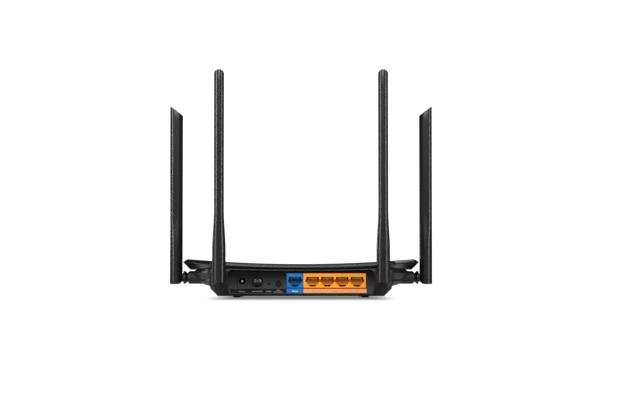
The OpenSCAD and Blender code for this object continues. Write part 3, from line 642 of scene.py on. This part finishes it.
def window(first, last, side):
    """A cutter through the panel, round the sockets from first to last."""
    low, high = box_mm(first)[0], box_mm(last)[1]
    return block("window", (low.x - side, PANEL - PAST, low.z - WINDOW_BELOW),
                 (high.x + side, PANEL + PANEL_IN, high.z + WINDOW_ABOVE))


def port_cutters():
    """The stepped recess and the openings in its panel."""
    rings = [[(x, PANEL + y, z) for x, z in recess_outline(grow)] for y, grow in RECESS_STEPS]
    # the recess faces take the port panel's colour with its painted light and shade
    cutters = [skin("recess", rings, "port_panel"),
               window("wan_jack", "lan_jack_block", SOCKET_SIDE),
               window("dc_jack", "dc_jack", JACK_SIDE)]
    for node, radius in (("power_button", POWER_HOLE_R), ("reset_plunger", RESET_HOLE_R)):
        start = (middle(node).x, PANEL - PAST, middle(node).z)
        cutters.append(cylinder("hole", start, radius, PAST + PANEL_IN, (0, 1, 0)))
    push = oval(middle("wps_button").x, middle("wps_button").z, *PUSH_HOLE)
    cutters.append(prism("hole", push, PANEL - PAST, PANEL + PANEL_IN))
    return cutters


def underside_cutters():
    """Foot pockets, screw holes, keyholes, cooling slots and the label's recess."""
    cutters = []
    for x in (-FOOT_X, FOOT_X):
        for y in FOOT_YS:
            cutters.append(cylinder("foot", (x, PANEL + y, 0), FOOT_R, FOOT_DEEP, UP, 48))
    for x, y in SCREWS:
        cutters.append(cylinder("screw", (x, PANEL + y, 0), SCREW_R, SCREW_DEEP, UP, 48))
    for x in (-KEY_X, KEY_X):
        cutters.append(cylinder("key", (x, KEY_Y, 0), KEY_R, FLOOR_TOP, UP, 48))
        slot = oval(x, KEY_Y + KEY_SLOT_Y, KEY_SLOT_W, KEY_SLOT_LONG)
        cutters.append(plug("key", slot, 0, FLOOR_TOP))
    for side in (-1, 1):
        for i in range(GRILLE_COUNT):
            for y in GRILLE_YS:
                slot = oval(side * (GRILLE_X + GRILLE_PITCH * i), PANEL + y, GRILLE_W, GRILLE_LONG)
                cutters.append(plug("slot", slot, 0, FLOOR_TOP))
    cutters.append(block("label", (-LABEL_HALF_W, KEY_Y - LABEL_HALF_LONG, 0),
                         (LABEL_HALF_W, KEY_Y + LABEL_HALF_LONG, LABEL_DEEP)))
    return cutters


def make_base():
    """The base shell with its port recess and everything cut into its underside."""
    rings = [[(x, y, z + rise * seam_rise(x))
              for x, y in plan(half_w, rear_w, PANEL + rear_y, front_w, PANEL + front_y)]
             for z, half_w, rear_w, rear_y, front_w, front_y, rise, _ in BASE_RINGS]
    rings = rounded_rings(rings, [row[-1] for row in BASE_RINGS], steps=4)
    base = skin("case_base", rings, "case_plastic", strip_cap)
    cut(base, port_cutters() + underside_cutters())
    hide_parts("base_shell")
    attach(base, "case")


# ---- the port side ----------------------------------------------------------------------------------

BOARD_Z = box_mm("wan_jack")[0].z
PLUG_W = 11.8
PLUG_LOW, PLUG_HIGH = BOARD_Z + 3.7, BOARD_Z + 10.4
PLUG_DEEP = 9
LATCH_W = 6.4
LATCH_LOW = BOARD_Z + 1.2
COMB_H = 2.3
COMB_DEEP = 14
NOTCH_W, NOTCH_DEEP = 0.9, 7  # shallow notches on both sides of the mouth
NOTCH_LOW, NOTCH_HIGH = PLUG_LOW + 1.9, PLUG_LOW + 4.3
PORT_PITCH = 14
CONTACT_PITCH = 1.02
RIB_COUNT, RIB_W = 9, 0.4  # ribs of the comb, between the contacts
RIB_FRONT, RIB_END = 1.6, 9
EPS = 0.1  # a small overlap or margin

DASH_FRONT, DASH_BACK = 0.26, 0.19  # from the panel to both faces of a dash
CONTROL_MARKS = [  # node, width, height, height above the table
    ("dc_jack", 5.6, 0.8, 5.7),
    ("power_button", 10, 0.8, 5.7),
    ("reset_plunger", 5, 0.8, 5.7),
    ("wps_button", 4, 0.7, 6.7),
    ("wps_button", 9, 0.7, 5.2),
]
PORT_MARK_Z = 5.9

JACK_HOLE_UP = 6.3  # the power socket's hole above the board
JACK_HOLE_R = 3.2
BUTTON_LONG = 8.4
BUTTON_TIP_R = 0.05
BUTTON_DOME = [  # radius, slope in degrees: a nearly straight shoulder catches broad highlights
    (0.5, 4), (1.0, 10), (1.5, 18), (2.0, 25), (2.5, 28.5), (3.0, 30), (3.5, 32), (3.8, 38),
    (4.1, 50), (4.25, 62), (4.35, 75),
]


def port_centres(node, count):
    """The middles of the sockets in a part that holds count of them."""
    return [middle(node).x + (i - (count - 1) / 2) * PORT_PITCH for i in range(count)]


def both_sides(x, right):
    """A closed outline round x from the (x, z) points of its right half."""
    return [(x + a, z) for a, z in right] + [(x - a, z) for a, z in right[::-1]]


def cavity_outline(x):
    """Mouth of a socket without its comb and latch slot."""
    return both_sides(x, [(PLUG_W / 2, PLUG_HIGH - COMB_H), (PLUG_W / 2, PLUG_LOW + 0.8),
                          (4.4, PLUG_LOW - 0.4), (LATCH_W / 2 + 0.4, PLUG_LOW - 1.2)])


def latch_outline(x):
    """Slot for a plug's latch, under the cavity."""
    return both_sides(x, [(LATCH_W / 2 + 0.4, PLUG_LOW - 1.15), (LATCH_W / 2, LATCH_LOW + 0.7),
                          (2.2, LATCH_LOW)])


def make_socket(node, count, material, painted_shade):
    """A part with count network sockets, and the combs in them; comb, latch and notch faces are painted
    darker, a painted shade.
    """
    low, high = box_mm(node)
    face = low.y
    half = PLUG_W / 2
    body = block(node + "_body", low, high, material, radius=0.2)
    cutters = []
    for x in port_centres(node, count):
        cutters.append(prism("cavity", cavity_outline(x), face - PAST, face + PLUG_DEEP))
        cutters.append(block("comb", (x - half, face - PAST, PLUG_HIGH - COMB_H - EPS),
                             (x + half, face + COMB_DEEP, PLUG_HIGH), painted_shade))
        cutters.append(prism("latch", latch_outline(x), face - PAST, face + COMB_DEEP, painted_shade))
        for edge in (x - half - NOTCH_W, x + half):
            cutters.append(block("notch", (edge, face - PAST, NOTCH_LOW),
                                 (edge + NOTCH_W, face + NOTCH_DEEP, NOTCH_HIGH), painted_shade))
    cut(body, cutters)
    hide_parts(node)
    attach(body, "case")
    ribs = []
    for x in port_centres(node, count):
        for i in range(RIB_COUNT):
            rib = x + (i - (RIB_COUNT - 1) / 2) * CONTACT_PITCH
            ribs.append(block("rib", (rib - RIB_W / 2, face + RIB_FRONT, PLUG_HIGH - COMB_H + EPS),
                              (rib + RIB_W / 2, face + RIB_END, PLUG_HIGH + EPS), material))
    join(node + "_combs", ribs, "case")


def dashes(centre, width, height, lift, dash=0.95, gap=0.4):
    """A row of short flat bars on a strip, round a place on the port side."""
    count = max(1, round((width + gap) / (dash + gap)))
    pitch = width / count
    start = centre - width / 2
    return [block("dash", (start + pitch * i, PANEL - DASH_FRONT, lift - height / 2),
                  (start + pitch * (i + 1) - gap, PANEL - DASH_BACK, lift + height / 2), "label")
            for i in range(count)]


def make_marks():
    """Plain dashes under the controls and sockets; they stand where lettering would be."""
    ports = port_centres("lan_jack_block", 4)
    marks = {
        "pale": [(middle(node).x, width, height, z) for node, width, height, z in CONTROL_MARKS],
        "blue": [(middle("wan_jack").x, 5.8, 1.0, PORT_MARK_Z)],
        "dark": [(sum(ports) / 4, 6, 0.6, PORT_MARK_Z, 0.7, 0.3)]
        + [(x, 0.9, 0.9, PORT_MARK_Z, 0.5, 0.4) for x in ports],
    }
    for ink, rows in marks.items():
        bars = [bar for row in rows for bar in dashes(*row)]
        for bar in bars:
            paint(bar, ink + "_ink")
        join("marks_" + ink, bars, "case")


def paint_socket_hole():
    """The power socket's face like the panel round it, with the panel's painted light and shade; its hole
    painted darker, a painted shade.
    """
    obj = frame["nodes"]["dc_jack"]
    low = box_mm("dc_jack")[0]
    axis_x, axis_z = middle("dc_jack").x, low.z + JACK_HOLE_UP
    paint(obj, "port_panel")
    # the hole's faces take a darker colour, a painted shade
    obj.data.materials.append(MATERIALS["jack_plastic"])
    for face in obj.data.polygons:
        place = obj.matrix_world @ face.center / MM
        if math.hypot(place.x - axis_x, place.z - axis_z) < JACK_HOLE_R and place.y > low.y + EPS:
            face.material_index = 1


def make_power_button():
    """The power button's round cap with its domed end."""
    place = Matrix.Translation((middle("power_button").x, box_mm("power_button")[0].y,
                                middle("power_button").z))
    profile = [(BUTTON_TIP_R, 0)]
    for r, slope in BUTTON_DOME:
        last_r, last_y = profile[-1]
        profile.append((r, last_y + (r - last_r) * math.tan(math.radians(slope))))
    profile.append((BUTTON_DOME[-1][0], BUTTON_LONG))
    cap = lathe("power_cap", profile, "button_plastic", place, sides=64, smooth_below=60)
    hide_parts("power_button")
    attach(cap, "power_button")


# ---- aerials ----------------------------------------------------------------------------------------

AERIALS = {"rear_left": 0, "rear_right": 0, "side_left": -90, "side_right": 90}  # turn about +Z
AERIAL_T = 12.45  # thickness, from outer to inner face
REACH = 5.05  # from the swivel's seat to the aerial's inner face
PIN_REACH = REACH + AERIAL_T / 2
PIN_UP = 6.6  # hinge pin above the aerial's lower end
PIN_HOLE_R, PIN_HOLE_LONG = 1.3, 11.3
BLADE_W, FOOT_W = 9.35, 12.78  # widths above and below the flare
FLARE_TOP, FLARE_LONG = 70, 40
WIDEST = 4.5  # from the blade's outer face to its widest line
BLADE_SQUARE, FOOT_SQUARE = 3, 2.15  # exponents of the inner side's rounded-square section
SLEEVE_SIDES = 72
FOOT_EDGE = 0.5  # bevel round the lower end
TIP_SLOPE = math.radians(37)
TIP_EDGE = 0.9  # roundness of the tip's rim
TIP_STEPS = 4
TIP_CLEAR = 14  # the last level section stands this far below the tip
RING_PITCH, RING_COUNT = 2.5, 33
SLOT_HALF_W, SLOT_UP = 2.8, 4.5  # the slot that the knuckle's tongue moves in
SLOT_OUT, SLOT_IN = 4.5, 7.5
HEEL_R = 6.75  # the lower inner corner is round about the pin
HEEL_HALF_W, HEEL_DEEP = 8, 8

SEAT_R = 6.3
SEAT_PROFILE = [  # radius, depth: from inside the case to the chamfered rim
    (SEAT_R - 2, 26), (SEAT_R, 24), (SEAT_R, 2.0), (SEAT_R - 0.1, 1.6), (SEAT_R - 1.5, 0.15),
    (SEAT_R - 1.8, 0),
]


def aerial_place(name):
    """The transform, in mm, from a set drawn with its swivel's seat at the origin, facing -Y."""
    low = box_mm(name + "_aerial_sleeve")[0]
    centre = middle(name + "_aerial_sleeve")
    pin = Vector((centre.x, centre.y, low.z + PIN_UP))
    turn = Matrix.Rotation(math.radians(AERIALS[name]), 4, "Z")
    return Matrix.Translation(pin) @ turn @ Matrix.Translation((0, PIN_REACH, 0))


def make_seats():
    """The round bosses that the side aerials' swivels turn in, cut off obliquely by the flank."""
    for name in ("side_left", "side_right"):
        boss = lathe("case_boss_" + name, SEAT_PROFILE, "case_plastic", aerial_place(name), sides=64)
        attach(boss, "case")


def sleeve_section(h):
    """Points round the aerial at height h, as (across, out): out grows away from the case."""
    t = smooth((FLARE_TOP - h) / FLARE_LONG)
    half = (BLADE_W + (FOOT_W - BLADE_W) * t) / 2
    outer = WIDEST + (AERIAL_T / 2 - WIDEST) * t
    inner = AERIAL_T - outer
    square = BLADE_SQUARE + (FOOT_SQUARE - BLADE_SQUARE) * t
    made = []
    for i in range(SLEEVE_SIDES):
        a = -math.pi / 2 + (i + 0.5) * 2 * math.pi / SLEEVE_SIDES
        c, s = math.cos(a), math.sin(a)
        power = 1.0 if c > 0 else 2 / square
        across = half * math.copysign(abs(s) ** power, s)
        out = (outer if c > 0 else -inner) * abs(c) ** power
        made.append((across, AERIAL_T / 2 - outer + out))
    return made


def sleeve_rings(place, length):
    """Rings of an aerial from its lower end to its slanted, round-edged tip."""
    def ring(h, inset=0.0, lower=0.0, slanted=False):
        made = []
        for across, out in sleeve_section(h):
            shrink = 1 - inset / math.hypot(across, out)
            across, out = across * shrink, out * shrink
            drop = (AERIAL_T / 2 - out) * math.tan(TIP_SLOPE) if slanted else 0
            made.append(place @ Vector((across, -PIN_REACH - out, h - drop - PIN_UP - lower)))
        return made

    level = [FOOT_EDGE] + [RING_PITCH * k for k in range(1, RING_COUNT)] + [length - TIP_CLEAR]
    rings = [ring(0, inset=FOOT_EDGE)] + [ring(h) for h in level]
    for k in range(TIP_STEPS + 1):
        a = math.radians(90 * k / TIP_STEPS)
        rings.append(ring(length, TIP_EDGE * (1 - math.cos(a)), TIP_EDGE * (1 - math.sin(a)), True))
    return rings


def make_sleeve(name):
    """One aerial's outer sleeve, with its slot, pin hole and rounded heel."""
    place = aerial_place(name)
    low, high = box_mm(name + "_aerial_sleeve")
    sleeve = skin(name + "_aerial_blade", sleeve_rings(place, high.z - low.z), "aerial_plastic",
                  smooth_below=50)

    def boxed(half_w, y0, y1, z1):
        made = block("slot", (-half_w, y0, -PIN_UP - PAST), (half_w, y1, z1))
        made.data.transform(Matrix.Scale(MM, 4) @ place @ Matrix.Scale(1 / MM, 4))
        return made

    along = (place.to_3x3() @ Vector((1, 0, 0))).normalized()
    slot = boxed(SLOT_HALF_W, -PIN_REACH - SLOT_OUT, -PIN_REACH + SLOT_IN, SLOT_UP)
    hole = cylinder("hole", place @ Vector((-PIN_HOLE_LONG / 2, -PIN_REACH, 0)), PIN_HOLE_R,
                    PIN_HOLE_LONG, along)
    heel = boxed(HEEL_HALF_W, -PIN_REACH, -PIN_REACH + HEEL_DEEP, 0)
    half = HEEL_HALF_W + PAST
    kept = cylinder("round", place @ Vector((-half, -PIN_REACH, 0)), HEEL_R, 2 * half, along, 64)
    cut(heel, [kept])
    cut(sleeve, [slot, hole, heel], smooth_below=40)
    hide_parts(name + "_aerial_sleeve")
    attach(sleeve, name + "_aerial")
    return sleeve


# ---- assembly ---------------------------------------------------------------------------------------

SLOTS = {row["node"]: row["material_slot"] for row in frame["record"]["subparts"]}
for node, obj in frame["nodes"].items():
    paint(obj, SLOTS[node])
    soften(obj)
paint_socket_hole()
paint(frame["nodes"]["wps_button"], "hinge_plastic")
paint(frame["nodes"]["dc_jack_pin"], "plated_pin")

make_cover()
make_base()
make_seats()
make_socket("wan_jack", 1, "blue_socket", "blue_painted_shade")
make_socket("lan_jack_block", 4, "orange_socket", "orange_painted_shade")
make_marks()
make_power_button()
blades = {name: make_sleeve(name) for name in AERIALS}

# ---- stage, in metres -------------------------------------------------------------------------------

CAMERA_HEIGHT = 0.0186
CAMERA_DISTANCE = 1.9  # from the port panel
LENS = 116.6
SENSOR = 36
PITCH = math.radians(2.22)
PAN = math.radians(0.255)

FLOOR_SIZE = 60
FLOOR = 0.17
FLOOR_GLOW = 0.87
SHADOW_DEPTH = 0.8
SHADOW_X, SHADOW_SIDE = 0.062, 0.034  # half width of the full shadow, and how far it then fades
SHADOW_FRONT_Y, SHADOW_FRONT = -0.12, 0.31
SHADOW_BACK_Y, SHADOW_BACK = 0.04, 0.05
MIRRORED_END = 0.06  # reflections show the floor only in front of this y
MIRRORED_SHARE = 0.42  # and this much of its brightness

STRIP_DISTANCE, STRIP_ANGLE, STRIP_SIZE = 1.3, math.radians(60), (0.18, 1.2)
STRIPS = [(-1, 16, 0.70, "side_right"), (1, 10, 0.62, "side_left")]  # side, power, height, spared
FRONT_DISTANCE, FRONT_ANGLE = 1.6, math.radians(26)
LIGHTS = [  # name, place, target, size, power
    ("top", (0, 0.06, 1.5), (0, 0, 0), (1.4, 0.16), 5),
    ("front", (0, -FRONT_DISTANCE * math.cos(FRONT_ANGLE), FRONT_DISTANCE * math.sin(FRONT_ANGLE)),
     (0, 0, 0.02), (0.9, 0.3), 9),
    ("wing_right", (0.66, 1.45, 0.82), (0.1, 0, 0.03), (0.25, 0.2), 0.35),
    ("wing_left", (-0.62, 0.55, 0.10), (-0.1, 0, 0.03), (0.08, 0.06), 0.35),
]
ROOM_GLOW, ROOM_MIRRORED = 1.15, 0.014  # strength of the surroundings as light, and in reflections


def area_light(name, place, target, size, power):
    """A soft rectangular light that the camera doesn't see."""
    data = bpy.data.lights.new(name, "AREA")
    data.shape = "RECTANGLE"
    data.size, data.size_y = size
    data.energy = power
    obj = bpy.data.objects.new(name, data)
    bpy.context.collection.objects.link(obj)
    obj.location = place
    obj.rotation_euler = (Vector(target) - Vector(place)).to_track_quat("-Z", "Y").to_euler()
    obj.visible_camera = False
    return obj


def spare(light, piece):
    """Keeps a light off one piece."""
    spared = bpy.data.collections.new(light.name + "_spares")
    spared.objects.link(piece)
    light.light_linking.receiver_collection = spared
    spared.collection_objects[0].light_linking.link_state = "EXCLUDE"


def shade_floor(tree, shader):
    """The floor's soft shadow: full under the case, short at its sides and back, long in front.

    The camera looks along the floor, so the long front gives the pale band below the case its depth.
    """
    nodes, links = tree.nodes, tree.links
    place = nodes.new("ShaderNodeSeparateXYZ")
    links.new(nodes.new("ShaderNodeTexCoord").outputs["Object"], place.inputs["Vector"])

    def past(axis, start, fade):
        """The square of how far a point is on its way from start to start + fade."""
        way = map_range(tree, place.outputs[axis], (start, start + fade), (0, 1))
        return combined(tree, "MULTIPLY", way, way)

    across = combined(tree, "ADD", past("X", SHADOW_X, SHADOW_SIDE), past("X", -SHADOW_X, -SHADOW_SIDE))
    along = combined(tree, "ADD", past("Y", SHADOW_FRONT_Y, -SHADOW_FRONT),
                     past("Y", SHADOW_BACK_Y, SHADOW_BACK))
    way_out = combined(tree, "SQRT", combined(tree, "ADD", across, along))
    light = map_range(tree, way_out, (0, 1), (1 - SHADOW_DEPTH, 1), "SMOOTHSTEP")

    # reflections show only the floor in front of the case, so that the aerials' edges stay dark
    mirrored = nodes.new("ShaderNodeLightPath").outputs["Is Glossy Ray"]
    before = combined(tree, "LESS_THAN", place.outputs["Y"], MIRRORED_END)
    in_mirror = combined(tree, "MULTIPLY", mirrored, combined(tree, "MULTIPLY", before, MIRRORED_SHARE))
    shown = combined(tree, "ADD", in_mirror, combined(tree, "SUBTRACT", 1, mirrored))
    for share, socket in ((FLOOR, "Base Color"), (FLOOR_GLOW, "Emission Strength")):
        value = combined(tree, "MULTIPLY", combined(tree, "MULTIPLY", light, share), shown)
        links.new(value, shader.inputs[socket])


def make_floor():
    """A pale floor that glows, so that it meets the white surroundings without a line."""
    bpy.ops.mesh.primitive_plane_add(size=FLOOR_SIZE, location=(0, 0, 0))
    floor = bpy.context.object
    floor.name = "floor"
    pale = bpy.data.materials.new("pale_floor")
    pale.use_nodes = True
    shader = pale.node_tree.nodes["Principled BSDF"]
    shader.inputs["Roughness"].default_value = 1
    shader.inputs["Specular IOR Level"].default_value = 0
    shader.inputs["Emission Color"].default_value = (1, 1, 1, 1)
    shade_floor(pale.node_tree, shader)
    floor.data.materials.append(pale)


def make_lights(blades):
    """Tall strips that edge the aerials, a light above and one in front, and two for the case's wings.

    Each strip is kept off the side aerial beyond the case, which has no bright inner edge.
    """
    for side, power, height, far in STRIPS:
        place = (side * STRIP_DISTANCE * math.sin(STRIP_ANGLE),
                 -STRIP_DISTANCE * math.cos(STRIP_ANGLE), height)
        spare(area_light("strip", place, (0, 0, height), STRIP_SIZE, power), blades[far])
    for light in LIGHTS:
        area_light(*light)


def make_room():
    """White surroundings, nearly black in reflections."""
    room = bpy.data.worlds.new("studio")
    bpy.context.scene.world = room
    room.use_nodes = True
    tree = room.node_tree
    background = tree.nodes["Background"]
    mirrored = tree.nodes.new("ShaderNodeLightPath").outputs["Is Glossy Ray"]
    strength = map_range(tree, mirrored, (0, 1), (ROOM_GLOW, ROOM_MIRRORED))
    tree.links.new(strength, background.inputs["Strength"])
    background.inputs["Color"].default_value = (1, 1, 1, 1)


def make_camera():
    """The camera behind the router, nearly level with the case."""
    camera = bpy.data.objects.new("camera", bpy.data.cameras.new("camera"))
    bpy.context.collection.objects.link(camera)
    camera.data.sensor_width = SENSOR
    camera.data.lens = LENS
    camera.data.clip_end = 100
    camera.location = (0, PANEL * MM - CAMERA_DISTANCE, CAMERA_HEIGHT)
    camera.rotation_euler = (math.pi / 2 + PITCH, 0, -PAN)
    bpy.context.scene.camera = camera
    bpy.context.scene.view_settings.view_transform = "Standard"


make_floor()
make_lights(blades)
make_room()
make_camera()
